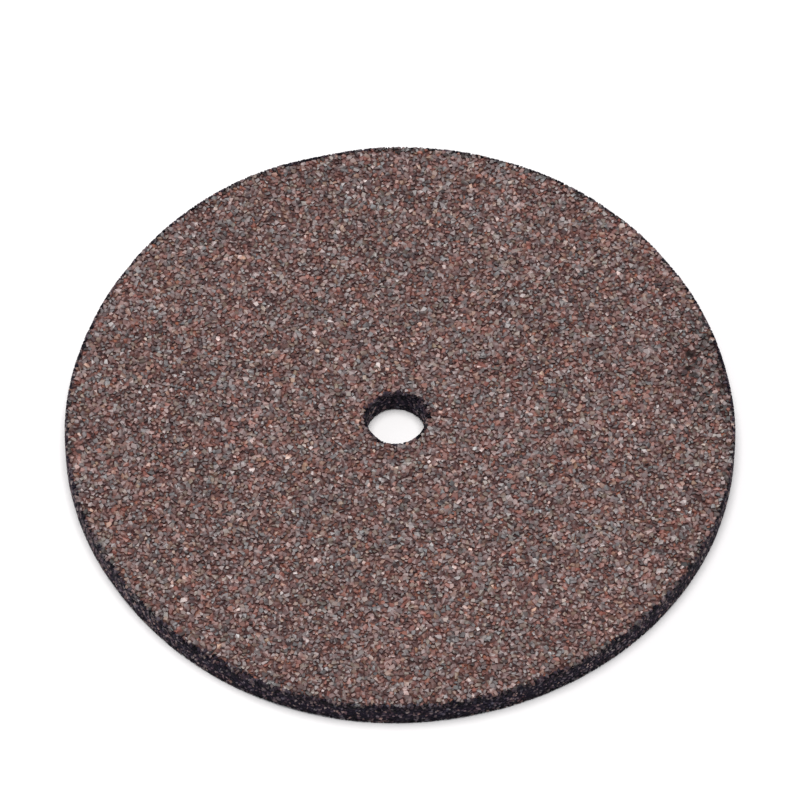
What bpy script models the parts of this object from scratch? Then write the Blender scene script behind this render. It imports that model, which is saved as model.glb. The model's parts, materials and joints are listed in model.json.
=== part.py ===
"""Cut-off wheel: a thin pressed disc of abrasive grit in resin, with a small bore at its middle.

Metres, +Z up. The wheel lies flat, and the origin is at the middle of its underside.
It is one moulded piece, so it is one solid: a turned section, whose four arrises are
rounded, and then crumbled where grains have broken away from them.
"""

import math
import random

import bmesh
import bpy

WHEEL_NAME = "cut_off_wheel"

# Overall sizes
WHEEL_DIAMETER = 0.0240
WHEEL_THICKNESS = 0.0011
BORE_DIAMETER = 0.0021

# The pin that forms the bore stands a little off the middle of the press
BORE_RUN_OUT_X = -0.00014
BORE_RUN_OUT_Y = 0.00010

# Radius of each rounded arris where no grain has broken away
RIM_ARRIS_RADIUS = 0.00006
BORE_ARRIS_RADIUS = 0.00007

# The rim swells and shrinks by this much. Each swell: how many times round the wheel, its share
# of the unevenness, and the angle in degrees that sets where it stands out
RIM_UNEVENNESS = 0.000036
RIM_SWELLS = ((2, 0.44, -166.0), (3, 1.0, -61.0), (4, 0.52, -38.0), (5, 0.64, -129.0), (6, 0.44, 21.0))

# Crumbled places: how many on each arris, the length of one along the arris, and how much
# larger than the plain radius the deepest makes it
RIM_CHIPS = 46
RIM_CHIP_LENGTH = 0.0015
BORE_CHIPS = 9
BORE_CHIP_LENGTH = 0.0007
CHIP_GROWTH = 1.4

# On the top face, three stretches of the rim's arris and one of the bore's are worn more than
# the rest: their angles in degrees, their lengths, and how much larger an arris is at the middle
RIM_WORN_ANGLES = (10.0, 104.0, -122.0)
RIM_WORN_LENGTH = 0.0055
BORE_WORN_ANGLES = (28.0,)
BORE_WORN_LENGTH = 0.0019
WORN_GROWTH = 2.5

# A rounded arris takes at most this share of the thickness, however thin the wheel is
ARRIS_SHARE = 0.15

# Fineness of the turned shape
TURN_STEPS = 240
ARRIS_STEPS = 3
MERGE_DISTANCE = 0.000002
SMOOTH_ANGLE = math.radians(50.0)

SEED = 11


def clear_scene():
    for item in list(bpy.data.objects):
        bpy.data.objects.remove(item, do_unlink=True)


def bond_material():
    """Brown phenolic resin, packed with grit: dull all over."""
    material = bpy.data.materials.new("abrasive_bond")
    material.use_nodes = True
    shader = material.node_tree.nodes["Principled BSDF"]
    shader.inputs["Base Color"].default_value = (0.16, 0.11, 0.10, 1.0)
    shader.inputs["Roughness"].default_value = 0.8
    shader.inputs["Metallic"].default_value = 0.0
    return material


def arris_radius(wanted):
    """The radius of a rounded arris, which the deepest chip must not carry past the wall."""
    return min(wanted, ARRIS_SHARE * WHEEL_THICKNESS)


def arris_points(corner, outward, upward, radius):
    """A quarter round at a sharp corner, from its face end to its wall end, as (r, z) points.

    outward is +1 at the rim and -1 at the bore; upward is +1 at the top face, -1 at the bottom.
    """
    points = []
    for step in range(ARRIS_STEPS + 1):
        turn = 0.5 * math.pi * step / ARRIS_STEPS
        r = corner[0] - outward * radius * (1.0 - math.sin(turn))
        z = corner[1] - upward * radius * (1.0 - math.cos(turn))
        points.append((r, z))
    return points


def section():
    """The wheel's closed section, down its outer side and back up the bore."""
    rim = 0.5 * WHEEL_DIAMETER
    bore = 0.5 * BORE_DIAMETER
    rim_round = arris_radius(RIM_ARRIS_RADIUS)
    bore_round = arris_radius(BORE_ARRIS_RADIUS)
    points = arris_points((rim, WHEEL_THICKNESS), 1, 1, rim_round)
    points += reversed(arris_points((rim, 0.0), 1, -1, rim_round))
    points += arris_points((bore, 0.0), -1, -1, bore_round)
    points += reversed(arris_points((bore, WHEEL_THICKNESS), -1, 1, bore_round))
    return points


def turned_wheel(collection):
    """The section, turned about Z with a Screw modifier and kept as a plain mesh."""
    mesh = bpy.data.meshes.new("wheel_section")
    profile = bmesh.new()
    corners = [profile.verts.new((r, 0.0, z)) for r, z in section()]
    for here, there in zip(corners, corners[1:] + corners[:1]):
        profile.edges.new((here, there))
    profile.to_mesh(mesh)
    profile.free()
    guide = bpy.data.objects.new("wheel_section", mesh)
    collection.objects.link(guide)
    screw = guide.modifiers.new("turn", "SCREW")
    screw.axis = "Z"
    screw.angle = math.tau
    screw.steps = TURN_STEPS
    screw.render_steps = TURN_STEPS
    screw.use_merge_vertices = True
    screw.merge_threshold = MERGE_DISTANCE
    bpy.context.view_layer.update()
    graph = bpy.context.evaluated_depsgraph_get()
    turned = bpy.data.meshes.new_from_object(guide.evaluated_get(graph))
    turned.name = WHEEL_NAME
    bpy.data.objects.remove(guide)
    bpy.data.meshes.remove(mesh)
    return turned


def hump(distance, half_width):
    """One smooth hump: 1 at its middle, 0 past its ends."""
    if abs(distance) >= half_width:
        return 0.0
    return 0.5 + 0.5 * math.cos(math.pi * distance / half_width)


class Chips:
    """Where grains have broken away along one arris, and how much larger they make it."""

    def __init__(self, count, length, radius, seed):
        draw = random.Random(seed)
        self.spots = []
        for _ in range(count):
            angle = draw.uniform(-math.pi, math.pi)
            half_width = 0.5 * length / radius * draw.uniform(0.6, 1.4)
            depth = CHIP_GROWTH * draw.uniform(0.2, 1.0)
            self.spots.append((angle, half_width, depth))

    def add_worn(self, angles, length, radius):
        for angle in angles:
            self.spots.append((math.radians(angle), 0.5 * length / radius, WORN_GROWTH))

    def growth(self, angle):
        deepest = 0.0
        for middle, half_width, depth in self.spots:
            turn = math.remainder(angle - middle, math.tau)
            deepest = max(deepest, depth * hump(turn, half_width))
        return 1.0 + deepest


def crumble(shape, corner, reach, chips):
    """Draws one rounded arris back from its sharp corner by the chips' growth there."""
    for vertex in shape.verts:
        radius = math.hypot(vertex.co.x, vertex.co.y)
        if abs(radius - corner[0]) > reach or abs(vertex.co.z - corner[1]) > reach:
            continue
        angle = math.atan2(vertex.co.y, vertex.co.x)
        growth = chips.growth(angle)
        new_radius = corner[0] + (radius - corner[0]) * growth
        vertex.co.x = new_radius * math.cos(angle)
        vertex.co.y = new_radius * math.sin(angle)
        vertex.co.z = corner[1] + (vertex.co.z - corner[1]) * growth


def crumble_arrises(shape):
    rim = 0.5 * WHEEL_DIAMETER
    bore = 0.5 * BORE_DIAMETER
    rim_round = arris_radius(RIM_ARRIS_RADIUS)
    bore_round = arris_radius(BORE_ARRIS_RADIUS)
    for number, height in enumerate((0.0, WHEEL_THICKNESS)):
        rim_chips = Chips(RIM_CHIPS, RIM_CHIP_LENGTH, rim, SEED + number)
        bore_chips = Chips(BORE_CHIPS, BORE_CHIP_LENGTH, bore, SEED + 10 + number)
        if height > 0.0:
            rim_chips.add_worn(RIM_WORN_ANGLES, RIM_WORN_LENGTH, rim)
            bore_chips.add_worn(BORE_WORN_ANGLES, BORE_WORN_LENGTH, bore)
        crumble(shape, (rim, height), rim_round + MERGE_DISTANCE, rim_chips)
        crumble(shape, (bore, height), bore_round + MERGE_DISTANCE, bore_chips)


def unevenness(angle):
    """How far the rim stands out at an angle, as a sum of slow waves."""
    total = 0.0
    for waves, share, phase in RIM_SWELLS:
        total += share * math.cos(waves * angle - math.radians(phase))
    return RIM_UNEVENNESS * total


def shift_rim_and_bore(shape):
    """Makes the rim slightly uneven, and moves the bore by its run-out."""
    between = 0.25 * (WHEEL_DIAMETER + BORE_DIAMETER)
    for vertex in shape.verts:
        radius = math.hypot(vertex.co.x, vertex.co.y)
        if radius > between:
            swell = unevenness(math.atan2(vertex.co.y, vertex.co.x)) / radius
            vertex.co.x += vertex.co.x * swell
            vertex.co.y += vertex.co.y * swell
        else:
            vertex.co.x += BORE_RUN_OUT_X
            vertex.co.y += BORE_RUN_OUT_Y


def centre(shape):
    """Moves the wheel so that its overall box stands centred on the origin."""
    for axis in (0, 1):
        places = [vertex.co[axis] for vertex in shape.verts]
        middle = 0.5 * (min(places) + max(places))
        for vertex in shape.verts:
            vertex.co[axis] -= middle


def make_wheel(collection):
    mesh = turned_wheel(collection)
    shape = bmesh.new()
    shape.from_mesh(mesh)
    crumble_arrises(shape)
    shift_rim_and_bore(shape)
    centre(shape)
    bmesh.ops.triangulate(shape, faces=shape.faces)
    shape.to_mesh(mesh)
    shape.free()
    mesh.shade_smooth()
    mesh.set_sharp_from_angle(angle=SMOOTH_ANGLE)
    mesh.materials.append(bond_material())
    wheel = bpy.data.objects.new(WHEEL_NAME, mesh)
    collection.objects.link(wheel)
    return wheel


def main():
    clear_scene()
    collection = bpy.data.collections.new("cut_off_wheel_part")
    bpy.context.scene.collection.children.link(collection)
    make_wheel(collection)


main()
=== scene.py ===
# %% [markdown]
# # A small cut-off wheel
#
# The real thing is a disc of abrasive grit in dark phenolic resin, pressed in a mould and
# baked. It is 24 mm across and little more than 1 mm thick. From a step away it reads as a
# fine speckle of grey, rust and near-black grains, and that speckle is what this lesson builds.
#
# A speckled picture on a smooth disc would be quick, but its edge would stay a clean line and
# light would not catch on it. Here every grain at the surface is a small solid of its own,
# seated in a disc of resin, as the mould left them.

import json
import math

import bmesh
import bpy
import numpy as np
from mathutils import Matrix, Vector

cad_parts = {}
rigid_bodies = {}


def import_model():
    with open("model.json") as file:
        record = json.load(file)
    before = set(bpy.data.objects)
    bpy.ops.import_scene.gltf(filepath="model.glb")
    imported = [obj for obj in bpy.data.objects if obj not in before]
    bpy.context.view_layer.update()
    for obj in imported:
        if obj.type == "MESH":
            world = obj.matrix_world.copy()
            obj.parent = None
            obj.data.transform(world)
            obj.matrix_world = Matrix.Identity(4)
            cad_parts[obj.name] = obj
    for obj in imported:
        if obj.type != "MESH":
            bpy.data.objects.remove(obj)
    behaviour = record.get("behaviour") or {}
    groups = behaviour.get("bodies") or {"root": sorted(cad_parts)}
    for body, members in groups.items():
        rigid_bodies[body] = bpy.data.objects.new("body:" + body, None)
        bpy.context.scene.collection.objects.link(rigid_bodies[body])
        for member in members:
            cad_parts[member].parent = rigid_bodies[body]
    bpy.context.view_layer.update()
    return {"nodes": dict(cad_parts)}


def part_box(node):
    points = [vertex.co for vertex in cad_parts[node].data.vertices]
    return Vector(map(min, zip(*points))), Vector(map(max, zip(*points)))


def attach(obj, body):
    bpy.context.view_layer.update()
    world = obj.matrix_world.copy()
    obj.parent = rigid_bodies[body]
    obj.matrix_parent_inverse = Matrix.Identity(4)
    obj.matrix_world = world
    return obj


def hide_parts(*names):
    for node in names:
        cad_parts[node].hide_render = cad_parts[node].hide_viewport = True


MM = 0.001
WHEEL = "cut_off_wheel"

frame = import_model()
wheel_low, wheel_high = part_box(WHEEL)

wheel_size = wheel_high - wheel_low
RIM_RADIUS = 0.25 * (wheel_size.x + wheel_size.y)
THICKNESS = wheel_size.z
HALF_THICKNESS = 0.5 * THICKNESS
print(f"wheel: {2 * RIM_RADIUS / MM:.2f} mm across, {THICKNESS / MM:.2f} mm thick")

# %% [markdown]
# ## Camera
#
# The photograph looks down at about 57 degrees through a long lens: the far half of the outline
# is hardly smaller than the near half. The lens and the distance below give the outline the
# same size in the picture, and the camera aims a little behind the wheel's middle, because the
# wheel sits low in the frame.

# %% Set the camera
CAMERA_ELEVATION = math.radians(56.94)
CAMERA_DISTANCE = 22.0 * RIM_RADIUS
CAMERA_LENS = 330.9
CAMERA_SENSOR = 36.0
CAMERA_NEAREST = 0.01
CAMERA_FARTHEST = 10.0
AIM = Vector((0.0, 1.573 * MM, 0.0))


def add_camera():
    data = bpy.data.cameras.new("camera")
    data.lens = CAMERA_LENS
    data.sensor_width = CAMERA_SENSOR
    data.clip_start = CAMERA_NEAREST
    data.clip_end = CAMERA_FARTHEST
    camera = bpy.data.objects.new("camera", data)
    back = Vector((0.0, -math.cos(CAMERA_ELEVATION), math.sin(CAMERA_ELEVATION)))
    camera.location = back * CAMERA_DISTANCE
    camera.rotation_mode = "QUATERNION"
    camera.rotation_quaternion = (AIM - camera.location).to_track_quat("-Z", "Y")
    bpy.context.scene.collection.objects.link(camera)
    bpy.context.scene.camera = camera
    return camera


camera = add_camera()
bpy.context.scene.view_settings.view_transform = "Standard"
print(f"camera: {camera.location.length / MM:.0f} mm away")

# %% [markdown]
# ## Colours
#
# Colours are written as the sRGB hex values that one would pick from a picture, and one
# function turns them to the linear values that shaders need.

# %% Turn a hex colour to linear light
def linear(hex_colour):
    """An sRGB hex value as a linear colour with alpha."""
    channels = [int(hex_colour[i : i + 2], 16) / 255.0 for i in (1, 3, 5)]
    bent = [c / 12.92 if c <= 0.04045 else ((c + 0.055) / 1.055) ** 2.4 for c in channels]
    return (*bent, 1.0)


print("#808080 in linear light:", round(linear("#808080")[0], 3))

# %% [markdown]
# ## Nodes
#
# Shaders and scatters are both trees of nodes. One function adds a node with its settings and
# its links, so that each material and each step of the scatter reads as a list.

# %% Add a node, and start a material
def set_stops(colour_ramp, stops):
    """Gives a colour ramp its stops, each a position and a hex colour."""
    while len(colour_ramp.elements) < len(stops):
        colour_ramp.elements.new(1.0)
    for element, (position, colour) in zip(colour_ramp.elements, stops):
        element.position = position
        element.color = linear(colour)


def add_node(tree, kind, settings=None, inputs=None):
    """A node of that kind. settings are its own properties; inputs are values or sockets."""
    node = tree.nodes.new(kind)
    for name, value in (settings or {}).items():
        if name == "stops":
            set_stops(node.color_ramp, value)
        else:
            setattr(node, name, value)
    for name, value in (inputs or {}).items():
        socket = node.inputs[name]
        if isinstance(value, bpy.types.NodeSocket):
            tree.links.new(value, socket)
        else:
            socket.default_value = value
    return node


def new_material(name):
    """An empty material and its Principled shader, already joined to the output."""
    material = bpy.data.materials.new(name)
    material.use_nodes = True
    tree = material.node_tree
    tree.nodes.clear()
    shader = add_node(tree, "ShaderNodeBsdfPrincipled")
    add_node(tree, "ShaderNodeOutputMaterial", inputs={"Surface": shader.outputs["BSDF"]})
    return material, tree, shader


# %% [markdown]
# ## Floor
#
# The photograph is a plain studio picture on white, so a wide pale floor lies under the wheel.
# It is matt, and uneven by a shade only. So near a white floor the rim would be lit from below
# far more than the photograph shows. The camera therefore sees the floor white, while the
# light that it throws back is that of a greyer one.

# %% Add the floor
FLOOR_HALF = 1.6
FLOOR_PATCH = 110.0 * MM
FLOOR_SHADES = [(0.3, "#f3f3f3"), (0.7, "#f6f6f6")]
FLOOR_BOUNCE = "#b0b0b0"
FLOOR_ROUGHNESS = 0.9
FLOOR_SHEEN = 0.1


def floor_material():
    """Pale studio card: matt, with hardly any gloss."""
    material, tree, shader = new_material("pale_studio_card")
    place = add_node(tree, "ShaderNodeTexCoord").outputs["Object"]
    cloud = add_node(
        tree,
        "ShaderNodeTexNoise",
        inputs={"Vector": place, "Scale": 1.0 / FLOOR_PATCH, "Detail": 2.0},
    )
    shade = add_node(
        tree, "ShaderNodeValToRGB", {"stops": FLOOR_SHADES}, {"Fac": cloud.outputs["Fac"]}
    )
    rays = add_node(tree, "ShaderNodeLightPath")
    shown = add_node(
        tree,
        "ShaderNodeMix",
        {"data_type": "RGBA"},
        {0: rays.outputs["Is Camera Ray"], 6: linear(FLOOR_BOUNCE), 7: shade.outputs["Color"]},
    )
    tree.links.new(shown.outputs[2], shader.inputs["Base Color"])
    shader.inputs["Roughness"].default_value = FLOOR_ROUGHNESS
    shader.inputs["Specular IOR Level"].default_value = FLOOR_SHEEN
    return material


def add_floor():
    shape = bmesh.new()
    bmesh.ops.create_grid(shape, x_segments=1, y_segments=1, size=FLOOR_HALF)
    mesh = bpy.data.meshes.new("floor")
    shape.to_mesh(mesh)
    shape.free()
    floor = bpy.data.objects.new("floor", mesh)
    floor.data.materials.append(floor_material())
    bpy.context.scene.collection.objects.link(floor)


add_floor()
print(f"floor: {2 * FLOOR_HALF:.1f} m across")

# %% [markdown]
# ## Light
#
# One broad soft light hangs straight above, which makes the top face bright and leaves the rim
# dark. A second, far weaker, comes from low on the left, where the photograph's rim is a little
# lighter. Both are sun lamps with a very wide disc: such a lamp is as soft as a softbox, but
# lights the floor alike all the way out.

# %% Add the lights
LIGHT_COLOUR = "#fffcfb"

# Each light's name, the way to it, the width of its disc and its strength
SOFTBOXES = (
    ("overhead_softbox", Vector((0.0, 0.0, 1.0)), math.radians(38.0), 2.88),
    ("left_softbox", Vector((-1.0, 0.45, 0.45)), math.radians(60.0), 0.75),
)


def add_softbox(name, towards, angle, strength):
    data = bpy.data.lights.new(name, "SUN")
    data.angle = angle
    data.energy = strength
    data.color = linear(LIGHT_COLOUR)[:3]
    light = bpy.data.objects.new(name, data)
    light.rotation_mode = "QUATERNION"
    light.rotation_quaternion = towards.to_track_quat("Z", "Y")
    bpy.context.scene.collection.objects.link(light)
    print(f"{name}: {math.degrees(angle):.0f} degrees wide, strength {strength}")


for softbox in SOFTBOXES:
    add_softbox(*softbox)

# %% [markdown]
# ## Sky
#
# The sky is weak as a light, and only keeps the shadows from going black. The camera sees it
# white, so that the floor has no visible end.

# %% Set the sky
SKY_COLOUR = "#f4f7ff"
SKY_STRENGTH = 0.30
SKY_SEEN = "#ffffff"


def set_sky():
    world = bpy.data.worlds.new("studio_white")
    bpy.context.scene.world = world
    world.use_nodes = True
    tree = world.node_tree
    tree.nodes.clear()
    glow = add_node(
        tree,
        "ShaderNodeBackground",
        inputs={"Color": linear(SKY_COLOUR), "Strength": SKY_STRENGTH},
    )
    seen = add_node(tree, "ShaderNodeBackground", inputs={"Color": linear(SKY_SEEN)})
    rays = add_node(tree, "ShaderNodeLightPath")
    sky = add_node(
        tree,
        "ShaderNodeMixShader",
        inputs={
            "Fac": rays.outputs["Is Camera Ray"],
            1: glow.outputs["Background"],
            2: seen.outputs["Background"],
        },
    )
    add_node(tree, "ShaderNodeOutputWorld", inputs={"Surface": sky.outputs["Shader"]})


set_sky()
print("sky strength:", SKY_STRENGTH)

# %% [markdown]
# ## The resin body
#
# Between the grains one sees dark brown resin. Its body could be spun again from a section, but
# the frame's wheel already has the right arrises, with their crumbled places, so a copy of it
# is merged and drawn in. Under the faces it lies almost a tenth of a millimetre deep, so that
# the grains stand up out of it and the gaps between them are real pits. At the rim and in the
# bore, where the resin fills more of the gaps, it lies less deep.

# %% Make the resin body
FACE_SINK = 0.084 * MM
EDGE_SINK = 0.024 * MM
MERGE_DISTANCE = 0.001 * MM


def copy_of_wheel(name):
    """The frame's wheel as a new mesh with its points merged, so that it is one closed skin."""
    shape = bmesh.new()
    shape.from_mesh(frame["nodes"][WHEEL].data)
    bmesh.ops.remove_doubles(shape, verts=shape.verts, dist=MERGE_DISTANCE)
    mesh = bpy.data.meshes.new(name)
    shape.to_mesh(mesh)
    shape.free()
    return mesh


def apply_modifiers(piece):
    """Replaces a piece's mesh by what its modifiers make of it."""
    bpy.context.view_layer.update()
    graph = bpy.context.evaluated_depsgraph_get()
    made = bpy.data.meshes.new_from_object(piece.evaluated_get(graph))
    piece.modifiers.clear()
    piece.data = made


def flatten(mesh, factor):
    """Squeezes a mesh towards the middle plane of the wheel."""
    shape = bmesh.new()
    shape.from_mesh(mesh)
    middle = Vector((0.0, 0.0, HALF_THICKNESS))
    bmesh.ops.translate(shape, vec=-middle, verts=shape.verts)
    bmesh.ops.scale(shape, vec=(1.0, 1.0, factor), verts=shape.verts)
    bmesh.ops.translate(shape, vec=middle, verts=shape.verts)
    shape.to_mesh(mesh)
    shape.free()


def make_resin():
    resin = bpy.data.objects.new("resin_body", copy_of_wheel("resin_body"))
    bpy.context.scene.collection.objects.link(resin)
    draw_in = resin.modifiers.new("draw_in", "DISPLACE")
    draw_in.direction = "NORMAL"
    draw_in.strength = -EDGE_SINK
    draw_in.mid_level = 0.0
    apply_modifiers(resin)
    flatten(resin.data, (THICKNESS - 2.0 * FACE_SINK) / (THICKNESS - 2.0 * EDGE_SINK))
    return resin


resin = make_resin()
print("resin body:", len(resin.data.polygons), "faces")

# %% [markdown]
# ## Grains
#
# Abrasive grit is crushed, so a grain is a blocky chip with flat, sharp facets. A few points
# thrown about the surface of a ball, and the tightest skin around them, give just that shape.
# Two dozen such chips, turned and scaled at random, are enough that no two grains on the wheel
# look alike. Tens of thousands of copies are needed, so each chip has only about a dozen faces.

# %% Make the chips
CHIP_KINDS = 24
CHIP_POINTS = (8, 9, 9)
CHIP_POINTS_APART = 0.72
CHIP_SHORTEST = (0.40, 0.36, 0.40)
CHIP_LONGEST = (0.62, 0.52, 0.56)
CHIP_SEED = 100


def make_chip(number, collection):
    """One closed angular chip, about 1 across; the scatter gives it its real size."""
    rng = np.random.default_rng(CHIP_SEED + number)
    stretch = rng.uniform(CHIP_SHORTEST, CHIP_LONGEST)
    shape = bmesh.new()
    placed = []
    while len(placed) < CHIP_POINTS[number % len(CHIP_POINTS)]:
        spot = rng.normal(size=3)
        spot /= np.linalg.norm(spot)
        if all(np.linalg.norm(spot - other) > CHIP_POINTS_APART for other in placed):
            placed.append(spot)
            shape.verts.new(spot * stretch)
    bmesh.ops.convex_hull(shape, input=shape.verts)
    bmesh.ops.recalc_face_normals(shape, faces=shape.faces)
    mesh = bpy.data.meshes.new(f"chip_{number:02d}")
    shape.to_mesh(mesh)
    shape.free()
    chip = bpy.data.objects.new(mesh.name, mesh)
    collection.objects.link(chip)
    return len(mesh.polygons)


chips = bpy.data.collections.new("chips")
bpy.context.scene.collection.children.link(chips)
chip_faces = [make_chip(number, chips) for number in range(CHIP_KINDS)]
print("faces per chip:", chip_faces)

# %% [markdown]
# ## Spreading the grit
#
# Tens of thousands of grains would be slow to place one by one, so Geometry Nodes does it.
# Points are spread over the wheel's own surface, no two closer than a set distance, as grains
# lie that are packed against a mould. The flat faces are one region, and the steep rim and the
# bore are another, with finer grains. A grain is larger than the spacing and overlaps its
# neighbours, so that only narrow gaps stay open: a little more than a tenth of a millimetre of
# each one shows, which is the size of 120 grit.
#
# A place belongs to a face where its normal points almost straight up or down. Each region also
# says by what share of its size a grain is sunk, and it has a seed. The seed of every random
# draw counts up from that one, so that a grain's size says nothing of its hue.

# %% Spread points over a region
FACES = {"on_face": True, "grain": 0.225 * MM, "spacing": 0.121 * MM, "sunk": 0.27, "seed": 20}
EDGES = {"on_face": False, "grain": 0.165 * MM, "spacing": 0.090 * MM, "sunk": 0.26, "seed": 60}
FACE_UPRIGHT = 0.985
POINT_TRIES = 6.0
DRAWS = ("spread", "kind", "size", "chip", "turn", "tone", "hue", "film")


def seed_of(region, draw):
    """The seed of one of a region's random draws."""
    return region["seed"] + DRAWS.index(draw)


def spread_points(tree, surface, region):
    """Points over the flat faces, or over the steep rim and bore, not too near each other."""
    normal = add_node(tree, "GeometryNodeInputNormal").outputs["Normal"]
    upright = add_node(tree, "ShaderNodeSeparateXYZ", inputs={"Vector": normal}).outputs["Z"]
    flat = add_node(tree, "ShaderNodeMath", {"operation": "ABSOLUTE"}, {0: upright})
    operation = "GREATER_THAN" if region["on_face"] else "LESS_EQUAL"
    chosen = add_node(
        tree,
        "FunctionNodeCompare",
        {"data_type": "FLOAT", "operation": operation},
        {"A": flat.outputs["Value"], "B": FACE_UPRIGHT},
    )
    return add_node(
        tree,
        "GeometryNodeDistributePointsOnFaces",
        {"distribute_method": "POISSON"},
        {
            "Mesh": surface,
            "Selection": chosen.outputs["Result"],
            "Distance Min": region["spacing"],
            "Density Max": POINT_TRIES / region["spacing"] ** 2,
            "Seed": seed_of(region, "spread"),
        },
    )


print(f"at most {2 * RIM_RADIUS / FACES['spacing']:.0f} grains lie in a line across a face")

# %% [markdown]
# ## Pits
#
# Here and there a grain has broken out of the top face and left a socket, which painted shade
# makes dark. The photograph shows a dozen that can be told apart, most of them near the rim on
# the right. Each is a place with a radius, in millimetres, in which no grain is kept.

# %% Measure how far a place is from a pit
PITS = (
    (10.45, 2.88, 0.20),
    (10.39, 2.26, 0.15),
    (10.38, 1.37, 0.12),
    (11.23, 3.65, 0.13),
    (11.36, 3.22, 0.13),
    (11.60, 2.50, 0.13),
    (11.52, 2.10, 0.14),
    (11.62, 1.48, 0.15),
    (-3.04, 11.50, 0.11),
    (-4.41, 10.73, 0.12),
    (1.19, -11.50, 0.12),
    (3.09, -10.80, 0.11),
)


def from_pit(tree, place):
    """How far a place is from the nearest pit, as a share of that pit's radius."""
    nearest = None
    for x, y, radius in PITS:
        away = add_node(
            tree,
            "ShaderNodeVectorMath",
            {"operation": "DISTANCE"},
            {0: place, 1: (x * MM, y * MM, THICKNESS)},
        )
        share = add_node(
            tree,
            "ShaderNodeMath",
            {"operation": "DIVIDE"},
            {0: away.outputs["Value"], 1: radius * MM},
        ).outputs["Value"]
        if nearest is not None:
            share = add_node(
                tree, "ShaderNodeMath", {"operation": "MINIMUM"}, {0: nearest, 1: share}
            ).outputs["Value"]
        nearest = share
    return nearest


print(len(PITS), "pits, the widest", 2 * max(radius for x, y, radius in PITS), "mm across")

# %% [markdown]
# ## Kinds of grit
#
# The grains differ in kind: brown, grey, rust and so on. Each kind is a piece of its own, since
# each has its own material. Every grain draws one random number, and a piece keeps the grains
# whose number falls in its own band, so that each grain is in one piece only. On the left of
# the rim the numbers are lowered, so that more of its grains are pale ones: painted light there.

# %% Keep the grains of one kind
# Painted light on the left of the rim, by more pale grains.
LEFT_LIGHT_FROM = -6.0 * MM
LEFT_LIGHT_FULL = -11.0 * MM
LEFT_LIGHT_MORE = 0.22


def kind_number(tree, region):
    """A random number for each grain from 0 to 1, lowered on the left of the rim as painted
    light.
    """
    draw = add_node(
        tree, "FunctionNodeRandomValue", inputs={"Seed": seed_of(region, "kind")}
    ).outputs[1]
    if region["on_face"]:
        return draw
    place = add_node(tree, "GeometryNodeInputPosition").outputs["Position"]
    across = add_node(tree, "ShaderNodeSeparateXYZ", inputs={"Vector": place}).outputs["X"]
    lowered = add_node(
        tree,
        "ShaderNodeMapRange",
        inputs={
            "Value": across,
            "From Min": LEFT_LIGHT_FROM,
            "From Max": LEFT_LIGHT_FULL,
            "To Min": 0.0,
            "To Max": LEFT_LIGHT_MORE,
        },
    ).outputs["Result"]
    return add_node(
        tree, "ShaderNodeMath", {"operation": "SUBTRACT"}, {0: draw, 1: lowered}
    ).outputs["Value"]


def keep_kind(tree, points, region, band):
    """Only the points whose number lies in the band, and none in a pit."""
    kind = kind_number(tree, region)
    place = add_node(tree, "GeometryNodeInputPosition").outputs["Position"]
    for value, operation, limit in (
        (kind, "LESS_THAN", band[0]),
        (kind, "GREATER_EQUAL", band[1]),
        (from_pit(tree, place), "LESS_THAN", 1.0),
    ):
        left_out = add_node(
            tree,
            "FunctionNodeCompare",
            {"data_type": "FLOAT", "operation": operation},
            {"A": value, "B": limit},
        )
        points = add_node(
            tree,
            "GeometryNodeDeleteGeometry",
            {"domain": "POINT"},
            {"Geometry": points, "Selection": left_out.outputs["Result"]},
        ).outputs["Geometry"]
    return points


# %% [markdown]
# ## Sinking the points
#
# Grit is sieved, so the largest grains are only about twice the smallest. Each point is sunk by
# about a quarter of the size of its grain. So the grain's upper corners come near the wheel's
# surface, or past it, and its lower part lies in the resin.

# %% Draw each grain's size and sink its point
GRAIN_SMALLEST = 0.65
GRAIN_LARGEST = 1.35


def grain_size(tree, region):
    """A random size for each grain, about the region's usual one."""
    return add_node(
        tree,
        "FunctionNodeRandomValue",
        inputs={
            2: GRAIN_SMALLEST * region["grain"],
            3: GRAIN_LARGEST * region["grain"],
            "Seed": seed_of(region, "size"),
        },
    ).outputs[1]


def sink_points(tree, points, normal, size, region):
    """The points moved in along the surface's normal, by a share of each grain's size."""
    depth = add_node(
        tree, "ShaderNodeMath", {"operation": "MULTIPLY"}, {0: size, 1: -region["sunk"]}
    )
    inward = add_node(
        tree,
        "ShaderNodeVectorMath",
        {"operation": "SCALE"},
        {0: normal, "Scale": depth.outputs["Value"]},
    )
    return add_node(
        tree,
        "GeometryNodeSetPosition",
        inputs={"Geometry": points, "Offset": inward.outputs["Vector"]},
    ).outputs["Geometry"]


for region in (FACES, EDGES):
    smallest = GRAIN_SMALLEST * region["grain"] / MM
    largest = GRAIN_LARGEST * region["grain"] / MM
    print(f"chips of {smallest:.2f} to {largest:.2f} mm, of which the tips show")

# %% [markdown]
# ## Placing the chips
#
# One of the two dozen chips goes on each point, turned at random and scaled to its size. They
# are instances at first, which cost next to nothing, however many there are.

# %% Place a chip on each point
def place_chips(tree, points, size, region):
    """A turned and scaled chip at each point."""
    source = add_node(
        tree,
        "GeometryNodeCollectionInfo",
        inputs={"Collection": chips, "Separate Children": True, "Reset Children": True},
    )
    pick = add_node(
        tree,
        "FunctionNodeRandomValue",
        {"data_type": "INT"},
        {4: 0, 5: CHIP_KINDS - 1, "Seed": seed_of(region, "chip")},
    )
    turn = add_node(
        tree,
        "FunctionNodeRandomValue",
        {"data_type": "FLOAT_VECTOR"},
        {1: (math.tau, math.tau, math.tau), "Seed": seed_of(region, "turn")},
    )
    return add_node(
        tree,
        "GeometryNodeInstanceOnPoints",
        inputs={
            "Points": points,
            "Instance": source.outputs["Instances"],
            "Pick Instance": True,
            "Instance Index": pick.outputs[2],
            "Rotation": turn.outputs[0],
            "Scale": size,
        },
    ).outputs["Instances"]


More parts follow.
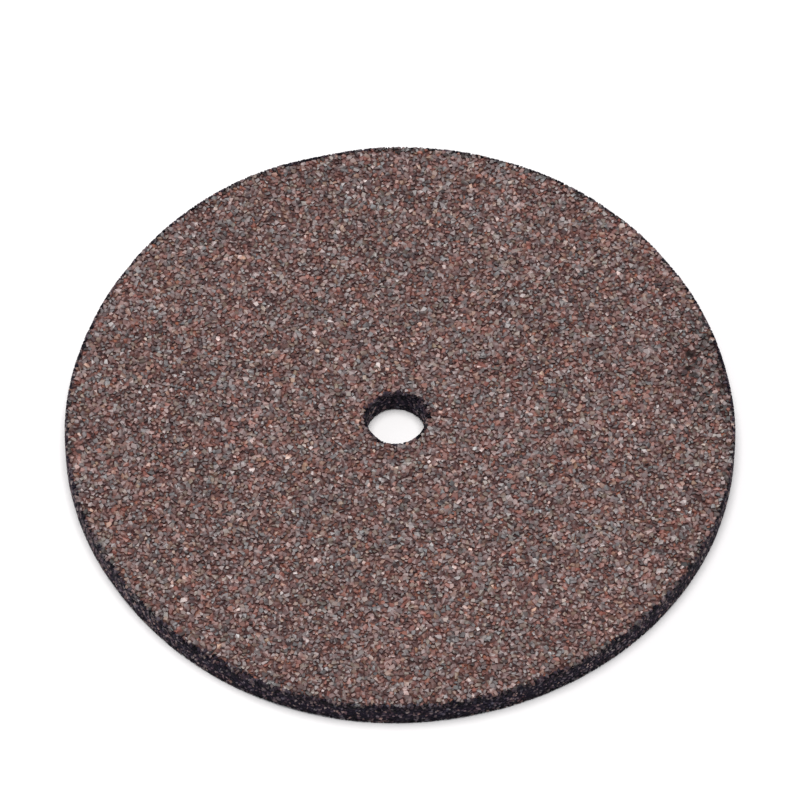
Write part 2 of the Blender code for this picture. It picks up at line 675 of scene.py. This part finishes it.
# %% [markdown]
# ## The mould
#
# The wheel was pressed against steel, so no corner of a grain stands out of it. Corners that
# would are moved back to the nearest point of the wheel's surface. That gives the grains the
# small flats that real ones show, keeps the visual wheel exactly as large as the frame's, and
# rounds the arrises where the frame's wheel has lost grains.

# %% Press the grains flush
def press(tree, grains, surface):
    """Moves every corner that stands out past the surface back onto it."""
    place = add_node(tree, "GeometryNodeInputPosition").outputs["Position"]
    normal = add_node(tree, "GeometryNodeInputNormal").outputs["Normal"]
    nearest = add_node(
        tree, "GeometryNodeProximity", {"target_element": "FACES"}, {"Target": surface}
    ).outputs["Position"]
    facing = add_node(
        tree,
        "GeometryNodeSampleNearestSurface",
        {"data_type": "FLOAT_VECTOR"},
        {"Mesh": surface, "Value": normal},
    ).outputs["Value"]
    apart = add_node(
        tree, "ShaderNodeVectorMath", {"operation": "SUBTRACT"}, {0: place, 1: nearest}
    ).outputs["Vector"]
    stands_out = add_node(
        tree, "ShaderNodeVectorMath", {"operation": "DOT_PRODUCT"}, {0: apart, 1: facing}
    ).outputs["Value"]
    outside = add_node(
        tree,
        "FunctionNodeCompare",
        {"data_type": "FLOAT", "operation": "GREATER_THAN"},
        {"A": stands_out, "B": 0.0},
    ).outputs["Result"]
    return add_node(
        tree,
        "GeometryNodeSetPosition",
        inputs={"Geometry": grains, "Selection": outside, "Position": nearest},
    ).outputs["Geometry"]


# %% [markdown]
# ## Film
#
# Some grains of the faces keep a dark film of resin. They lie in the last third of a millimetre
# before the rim, and near a worn stretch of the rim on the right, which is the darkest patch in
# the photograph. The film could be a smooth stain, but there it goes grain by grain, so each
# grain draws a number that decides whether it is covered.

# %% Choose the grains with a film
FILM_REACH = 0.30 * MM
FILM_AT_RIM = 0.80
WORN_PLACE = (12.6 * MM, 2.5 * MM, THICKNESS)
WORN_NEAR = 0.8 * MM
WORN_FAR = 3.0 * MM
FILM_WORN = 0.90


def filmed_by_rim(tree, place):
    """The share of grains with a film, by how near the rim they lie."""
    level = add_node(
        tree, "ShaderNodeVectorMath", {"operation": "MULTIPLY"}, {0: place, 1: (1.0, 1.0, 0.0)}
    ).outputs["Vector"]
    from_axis = add_node(tree, "ShaderNodeVectorMath", {"operation": "LENGTH"}, {0: level})
    return add_node(
        tree,
        "ShaderNodeMapRange",
        inputs={
            "Value": from_axis.outputs["Value"],
            "From Min": RIM_RADIUS - FILM_REACH,
            "From Max": RIM_RADIUS,
            "To Min": 0.0,
            "To Max": FILM_AT_RIM,
        },
    ).outputs["Result"]


def filmed_by_wear(tree, place):
    """The share of grains with a film, by how near the worn place they lie."""
    from_wear = add_node(
        tree, "ShaderNodeVectorMath", {"operation": "DISTANCE"}, {0: place, 1: WORN_PLACE}
    )
    return add_node(
        tree,
        "ShaderNodeMapRange",
        inputs={
            "Value": from_wear.outputs["Value"],
            "From Min": WORN_NEAR,
            "From Max": WORN_FAR,
            "To Min": FILM_WORN,
            "To Max": 0.0,
        },
    ).outputs["Result"]


def filmed(tree, region):
    """1 for a grain that keeps its film, and 0 for the rest."""
    place = add_node(tree, "GeometryNodeInputPosition").outputs["Position"]
    share = add_node(
        tree,
        "ShaderNodeMath",
        {"operation": "MAXIMUM"},
        {0: filmed_by_rim(tree, place), 1: filmed_by_wear(tree, place)},
    )
    draw = add_node(
        tree, "FunctionNodeRandomValue", inputs={"Seed": seed_of(region, "film")}
    ).outputs[1]
    return add_node(
        tree,
        "FunctionNodeCompare",
        {"data_type": "FLOAT", "operation": "LESS_THAN"},
        {"A": draw, "B": share.outputs["Value"]},
    ).outputs["Result"]


# %% [markdown]
# ## What a grain remembers
#
# Each grain carries values that its material reads: a tone, which becomes its shade, a hue,
# and, on the faces, its film. Its own number is kept as well, for the map further down. They
# are stored while the grains are still instances, so that each is one value for a whole grain.

# %% Mark the grains
def mark_grains(tree, grains, region):
    """Stores each grain's tone, hue and number, and on the faces its film."""
    tone = add_node(
        tree, "FunctionNodeRandomValue", inputs={"Seed": seed_of(region, "tone")}
    ).outputs[1]
    hue = add_node(
        tree, "FunctionNodeRandomValue", inputs={"Seed": seed_of(region, "hue")}
    ).outputs[1]
    number = add_node(tree, "GeometryNodeInputIndex").outputs["Index"]
    marks = [("tone", "FLOAT", tone), ("hue", "FLOAT", hue), ("grain", "INT", number)]
    if region["on_face"]:
        marks.append(("film", "FLOAT", filmed(tree, region)))
    for mark, data_type, value in marks:
        grains = add_node(
            tree,
            "GeometryNodeStoreNamedAttribute",
            {"data_type": data_type, "domain": "INSTANCE"},
            {"Geometry": grains, "Name": mark, "Value": value},
        ).outputs["Geometry"]
    return grains


# %% [markdown]
# ## One tree for every kind
#
# The steps above are joined to one tree, which is made anew for each piece.

# %% Build a scatter tree
def scatter_tree(name, region, band):
    tree = bpy.data.node_groups.new(name, "GeometryNodeTree")
    tree.interface.new_socket("Geometry", in_out="INPUT", socket_type="NodeSocketGeometry")
    tree.interface.new_socket("Geometry", in_out="OUTPUT", socket_type="NodeSocketGeometry")
    surface = add_node(tree, "NodeGroupInput").outputs["Geometry"]
    spread = spread_points(tree, surface, region)
    points = keep_kind(tree, spread.outputs["Points"], region, band)
    size = grain_size(tree, region)
    sunk = sink_points(tree, points, spread.outputs["Normal"], size, region)
    grains = mark_grains(tree, place_chips(tree, sunk, size, region), region)
    solid = add_node(tree, "GeometryNodeRealizeInstances", inputs={"Geometry": grains})
    pressed = press(tree, solid.outputs["Geometry"], surface)
    add_node(tree, "NodeGroupOutput", inputs={"Geometry": pressed})
    return tree


# %% [markdown]
# ## A map for the grains
#
# When a model leaves Blender its colours are baked into pictures, and a tiny chip would get
# less than a pixel of an automatic map. A grain has nearly one colour all over, so each gets a
# square cell of the map to itself, with its corners on a ring in that cell.

# %% Map the grains
BAKE_MAP = "OFBake"
CELL_RING = 0.36


def map_cells(mesh):
    """A UV map in which each grain fills a cell of its own."""
    grain = np.empty(len(mesh.vertices), np.int32)
    mesh.attributes["grain"].data.foreach_get("value", grain)
    side = math.ceil(math.sqrt(grain.max() + 1))
    first = np.searchsorted(grain, grain)
    corners = np.bincount(grain)[grain]
    angle = 2.0 * np.pi * (np.arange(len(grain)) - first) / corners
    across = grain % side + 0.5 + CELL_RING * np.cos(angle)
    along = grain // side + 0.5 + CELL_RING * np.sin(angle)
    spots = np.stack([across, along], 1) / side
    corner_vertex = np.empty(len(mesh.loops), np.int32)
    mesh.loops.foreach_get("vertex_index", corner_vertex)
    layer = mesh.uv_layers.new(name=BAKE_MAP)
    layer.uv.foreach_set("vector", spots[corner_vertex].astype(np.float32).ravel())


# %% [markdown]
# ## From the tree to a piece
#
# The tree runs as a modifier on a copy of the wheel, and what it makes is kept as a plain mesh.
# The copy itself is gone then: only its grains are left.

# %% Scatter one piece of grit
def scatter(name, region, band, material):
    """A piece that holds the grains of one band, as one plain mesh."""
    piece = bpy.data.objects.new(name, copy_of_wheel(name))
    bpy.context.scene.collection.objects.link(piece)
    grit = piece.modifiers.new("grit", "NODES")
    grit.node_group = scatter_tree(name, region, band)
    apply_modifiers(piece)
    bpy.data.node_groups.remove(bpy.data.node_groups[name])
    piece.data.name = name
    map_cells(piece.data)
    piece.data.materials.clear()
    piece.data.materials.append(material)
    grains = piece.data.attributes["grain"].data[-1].value + 1
    print(f"{name}: {grains} grains, {len(piece.data.polygons)} faces")
    return piece


# %% [markdown]
# ## Hue and stains
#
# A grain's own shade is only the start. It is multiplied by a row of tints, each a colour or a
# factor. The first two are small: a grain's hue leans a little to the cool or the warm, and
# faint stains a few grains across lean to rust or to grey.

# %% Tint by hue and stain
HUES = [(0.0, "#e4f4f9"), (0.4, "#edf0f2"), (0.8, "#f8efeb"), (1.0, "#f9f1da")]
STAIN_WIDTH = 0.42 * MM
STAINS = [(0.30, "#e3ebec"), (0.5, "#f2e9e8"), (0.70, "#fde4dd")]


def hue_tint(tree):
    """A little cooler or warmer, by the grain's own hue."""
    hue = add_node(tree, "ShaderNodeAttribute", {"attribute_name": "hue"}).outputs["Fac"]
    return add_node(tree, "ShaderNodeValToRGB", {"stops": HUES}, {"Fac": hue}).outputs["Color"]


def stain_tint(tree, place):
    """A little rustier or greyer, in patches a few grains across."""
    patches = add_node(
        tree,
        "ShaderNodeTexNoise",
        inputs={"Vector": place, "Scale": 1.0 / STAIN_WIDTH, "Detail": 1.0},
    ).outputs["Fac"]
    return add_node(
        tree, "ShaderNodeValToRGB", {"stops": STAINS}, {"Fac": patches}
    ).outputs["Color"]


# %% [markdown]
# ## Mottle and film
#
# A slow noise, a few millimetres across, lightens and darkens the wheel by up to a tenth,
# because the mix is never quite even. Most of its values lie between the low and the high named
# below. A film of resin makes a covered grain dark. A grain of the rim or the bore carries no
# film value, which reads as 0, so it isn't darkened.

# %% Lighten and darken
MOTTLE_WIDTH = 2.4 * MM
MOTTLE_LOW = 0.90
MOTTLE_HIGH = 1.10
NOISE_LOW = 0.3
NOISE_HIGH = 0.7
FILM_DARKNESS = 0.20


def mottle(tree, place):
    """A slow unevenness of brightness, as a factor about 1."""
    cloud = add_node(
        tree,
        "ShaderNodeTexNoise",
        inputs={"Vector": place, "Scale": 1.0 / MOTTLE_WIDTH, "Detail": 3.0},
    ).outputs["Fac"]
    return add_node(
        tree,
        "ShaderNodeMapRange",
        inputs={
            "Value": cloud,
            "From Min": NOISE_LOW,
            "From Max": NOISE_HIGH,
            "To Min": MOTTLE_LOW,
            "To Max": MOTTLE_HIGH,
        },
    ).outputs["Result"]


def film_factor(tree):
    """Dark for a grain that keeps its film of resin, and 1 for the rest."""
    film = add_node(tree, "ShaderNodeAttribute", {"attribute_name": "film"}).outputs["Fac"]
    return add_node(
        tree, "ShaderNodeMapRange", inputs={"Value": film, "To Min": 1.0, "To Max": FILM_DARKNESS}
    ).outputs["Result"]


# %% [markdown]
# ## Depth
#
# Deeper between the grains painted shade makes them darker, and the resin that has crept up
# their flanks makes them redder. On the rim the same measure tells the painted shade of the
# arrises from the middle.

# %% Measure how deep a place lies
def depth_below_face(tree, place):
    """0 at the nearer face, 1 half way through the wheel."""
    height = add_node(tree, "ShaderNodeSeparateXYZ", inputs={"Vector": place}).outputs["Z"]
    from_middle = add_node(
        tree, "ShaderNodeMath", {"operation": "SUBTRACT"}, {0: height, 1: HALF_THICKNESS}
    ).outputs["Value"]
    out = add_node(tree, "ShaderNodeMath", {"operation": "ABSOLUTE"}, {0: from_middle})
    return add_node(
        tree,
        "ShaderNodeMapRange",
        inputs={
            "Value": out.outputs["Value"],
            "From Min": HALF_THICKNESS,
            "From Max": 0.0,
        },
    ).outputs["Result"]


# %% [markdown]
# ## The grit's material
#
# The grit is fused aluminium oxide, crushed and sieved. It is a hard mineral with an index of
# refraction near 1.76, and its colour runs from warm brown through grey to nearly white, with
# the impurities in each grain. Rust-red grains have been stained by iron oxide. The darkest are
# still wrapped in resin. Broken facets are fairly smooth, so the roughness is middling, and now
# and then a facet throws a highlight.

# %% Make a grit material
ALUMINA_IOR = 1.76


def grit_material(name, shades, roughness, sheen, depth_shade):
    """Crushed aluminium oxide, each grain in its own shade from the first to the last."""
    material, tree, shader = new_material(name)
    place = add_node(tree, "ShaderNodeTexCoord").outputs["Object"]
    tone = add_node(tree, "ShaderNodeAttribute", {"attribute_name": "tone"}).outputs["Fac"]
    down = depth_below_face(tree, place)
    colour = add_node(
        tree, "ShaderNodeValToRGB", {"stops": shades}, {"Fac": tone}
    ).outputs["Color"]
    # Painted shade by depth: darker and redder between the grains of the faces, darker along the
    # rim's arrises.
    depth_shade_tint = add_node(
        tree, "ShaderNodeValToRGB", {"stops": depth_shade}, {"Fac": down}
    ).outputs["Color"]
    tints = (
        hue_tint(tree),
        stain_tint(tree, place),
        mottle(tree, place),
        film_factor(tree),
        depth_shade_tint,
    )
    for tint in tints:
        colour = add_node(
            tree, "ShaderNodeVectorMath", {"operation": "MULTIPLY"}, {0: colour, 1: tint}
        ).outputs["Vector"]
    tree.links.new(colour, shader.inputs["Base Color"])
    shader.inputs["Roughness"].default_value = roughness
    shader.inputs["IOR"].default_value = ALUMINA_IOR
    shader.inputs["Specular IOR Level"].default_value = sheen
    return material


# %% [markdown]
# ## What one sees in the resin
#
# One looks into the resin between the grains and sees the next ones down. So its colour is a
# pattern of cells as wide as a grain, with painted shade in the dip at each one's border. In a
# pit painted shade makes it nearly black, and a little way outside the pit it is its own colour
# again.

# %% Measure the buried grains and the pits
BURIED_GRAIN = 0.13 * MM
BURIED_FROM = 0.25
BURIED_TO = 0.65
# Painted shade at a buried grain's border, which is also the bump's low point.
BURIED_DIP_AND_SHADE = 0.45
PIT_FLOOR = 0.7
PIT_LIP = 1.3
# Painted shade in a pit.
PIT_SHADE = 0.15


def buried_dip_and_shade(tree, cells):
    """1 over the middle of a buried grain, less over its border: the bump's height, and painted
    shade.
    """
    return add_node(
        tree,
        "ShaderNodeMapRange",
        inputs={
            "Value": cells.outputs["Distance"],
            "From Min": BURIED_FROM,
            "From Max": BURIED_TO,
            "To Min": 1.0,
            "To Max": BURIED_DIP_AND_SHADE,
        },
    ).outputs["Result"]


def pit_shade(tree, place):
    """Painted shade: dark in a pit, and 1 a little way outside it."""
    return add_node(
        tree,
        "ShaderNodeMapRange",
        inputs={
            "Value": from_pit(tree, place),
            "From Min": PIT_FLOOR,
            "From Max": PIT_LIP,
            "To Min": PIT_SHADE,
            "To Max": 1.0,
        },
    ).outputs["Result"]


# %% [markdown]
# ## The resin's material
#
# Baked phenolic resin is dark brown and dull, with an index of refraction near 1.6. Its bump
# follows the dips between the buried grains. On the walls of the rim and the bore its colour is
# painted shade, blackest near the arrises.

# %% Make the resin's material
RESIN_IOR = 1.6
RESIN_ROUGHNESS = 0.6
RESIN_SHEEN = 0.10
BURIED_SHADES = [(0.0, "#452826"), (0.5, "#6d4e4b"), (0.8, "#856662"), (1.0, "#965f4c")]
DIP_DEPTH = 0.03 * MM
DIP_STRENGTH = 0.8
WALL_DEPTH = 0.12 * MM
# Painted shade on the walls of the rim and the bore, blackest near the arrises.
WALL_SHADE = [(0.10 * MM / HALF_THICKNESS, "#120d1a"), (0.42 * MM / HALF_THICKNESS, "#211a2d")]


def face_colour(tree, place, cells, dip_and_shade):
    """The buried grains' colour, darkened by painted shade at their borders and in the pits."""
    pick = add_node(
        tree, "ShaderNodeSeparateColor", inputs={"Color": cells.outputs["Color"]}
    ).outputs["Red"]
    colour = add_node(
        tree, "ShaderNodeValToRGB", {"stops": BURIED_SHADES}, {"Fac": pick}
    ).outputs["Color"]
    for factor in (dip_and_shade, pit_shade(tree, place)):
        colour = add_node(
            tree, "ShaderNodeVectorMath", {"operation": "MULTIPLY"}, {0: colour, 1: factor}
        ).outputs["Vector"]
    return colour


def resin_material():
    material, tree, shader = new_material("phenolic_resin")
    place = add_node(tree, "ShaderNodeTexCoord").outputs["Object"]
    cells = add_node(
        tree, "ShaderNodeTexVoronoi", inputs={"Vector": place, "Scale": 1.0 / BURIED_GRAIN}
    )
    dip_and_shade = buried_dip_and_shade(tree, cells)
    down = depth_below_face(tree, place)
    # Painted shade on the walls.
    edge_shade = add_node(tree, "ShaderNodeValToRGB", {"stops": WALL_SHADE}, {"Fac": down})
    on_wall = add_node(
        tree,
        "ShaderNodeMapRange",
        inputs={
            "Value": down,
            "From Min": FACE_SINK / HALF_THICKNESS,
            "From Max": WALL_DEPTH / HALF_THICKNESS,
        },
    ).outputs["Result"]
    shown = add_node(
        tree,
        "ShaderNodeMix",
        {"data_type": "RGBA"},
        {0: on_wall, 6: face_colour(tree, place, cells, dip_and_shade), 7: edge_shade.outputs["Color"]},
    )
    bump = add_node(
        tree,
        "ShaderNodeBump",
        inputs={"Height": dip_and_shade, "Strength": DIP_STRENGTH, "Distance": DIP_DEPTH},
    )
    tree.links.new(shown.outputs[2], shader.inputs["Base Color"])
    tree.links.new(bump.outputs["Normal"], shader.inputs["Normal"])
    shader.inputs["Roughness"].default_value = RESIN_ROUGHNESS
    shader.inputs["IOR"].default_value = RESIN_IOR
    shader.inputs["Specular IOR Level"].default_value = RESIN_SHEEN
    return material


resin.data.materials.clear()
resin.data.materials.append(resin_material())
print("resin material:", resin.data.materials[0].name)

# %% [markdown]
# ## The grit on the faces
#
# Each kind of grit has its share of the face, chosen so that together they give the picture's
# mix of brown, grey, rust and near-black.

# %% Scatter the grit on both faces
FACE_SHEEN = 0.5
# Painted shade down the grains' flanks, darker and redder with depth.
FACE_FLANK_SHADE = [(0.0, "#ffffff"), (0.10 * MM / HALF_THICKNESS, "#e9c8c4")]

# Each kind's name, its share of the grains, its roughness, and its shades from dark to light
FACE_GRIT = (
    ("grit_brown", 0.34, 0.45, [(0.0, "#65504f"), (0.5, "#826a68"), (1.0, "#9b8581")]),
    ("grit_grey", 0.28, 0.45, [(0.0, "#5d5655"), (0.5, "#786f6e"), (1.0, "#8f8786")]),
    ("grit_beige", 0.11, 0.45, [(0.0, "#6b5a50"), (0.5, "#88766a"), (1.0, "#a49186")]),
    ("grit_rust", 0.13, 0.5, [(0.0, "#673f37"), (0.5, "#83554c"), (1.0, "#9c6f64")]),
    ("grit_dark", 0.09, 0.5, [(0.0, "#341f20"), (0.5, "#4e3638"), (1.0, "#614948")]),
    ("grit_pale", 0.05, 0.4, [(0.0, "#9c8b89"), (0.7, "#b3a39f"), (1.0, "#d8cac5")]),
)

pieces = [resin]
start = 0.0
for name, share, roughness, shades in FACE_GRIT:
    band = (start, start + share)
    start += share
    material = grit_material(name, shades, roughness, FACE_SHEEN, FACE_FLANK_SHADE)
    pieces.append(scatter(name, FACES, band, material))

# %% [markdown]
# ## The rim and the bore
#
# Painted shade makes the grains of the rim and the bore's wall far darker than the faces, and a
# little cooler in hue. Only a grain here and there is left pale and shows its own colour. The
# painted shade is darkest along the arrises.

# %% Scatter the grit on the rim and in the bore
EDGE_PALE = 0.14
# Painted shade along both arrises of the rim and the bore, lighter in the middle of the wall.
EDGE_ARRIS_SHADE = [(0.08 * MM / HALF_THICKNESS, "#b3b3b3"), (0.42 * MM / HALF_THICKNESS, "#ffffff")]
# Painted shade: the rim's grains dark and a little cool in hue.
SHADED_EDGE_COLOURS = [(0.0, "#090713"), (0.45, "#2c2539"), (0.80, "#665767"), (1.0, "#a0919b")]
SHADED_EDGE_ROUGHNESS = 0.5
SHADED_EDGE_SHEEN = 0.08
EDGE_PALE_SHADES = [(0.0, "#62505b"), (0.6, "#977f83"), (1.0, "#cfb5af")]
EDGE_PALE_ROUGHNESS = 0.45
EDGE_PALE_SHEEN = 0.4

# The rim's grains in painted shade, and the few pale ones in their own lighter colour.
edge_shade = grit_material("grit_edge_skin", SHADED_EDGE_COLOURS, SHADED_EDGE_ROUGHNESS, SHADED_EDGE_SHEEN, EDGE_ARRIS_SHADE)
pieces.append(scatter("grit_edge_skin", EDGES, (EDGE_PALE, 1.0), edge_shade))
pale_edge = grit_material("grit_edge_bare", EDGE_PALE_SHADES, EDGE_PALE_ROUGHNESS, EDGE_PALE_SHEEN, EDGE_ARRIS_SHADE)
pieces.append(scatter("grit_edge_bare", EDGES, (-LEFT_LIGHT_MORE, EDGE_PALE), pale_edge))

# %% [markdown]
# ## Clearing up
#
# The two dozen loose chips have served as patterns. Left in place, they would be seen, and
# would be counted as pieces of the wheel.

# %% Remove the loose chips
for chip in list(chips.objects):
    bpy.data.objects.remove(chip)
bpy.data.collections.remove(chips)
print("pieces:", [piece.name for piece in pieces])

# %% [markdown]
# ## Hand over to the frame
#
# Every piece rides on the wheel's one body, and the resin body stands for the plain wheel of
# the frame.

# %% Finish
for piece in pieces:
    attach(piece, "root")
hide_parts(WHEEL)
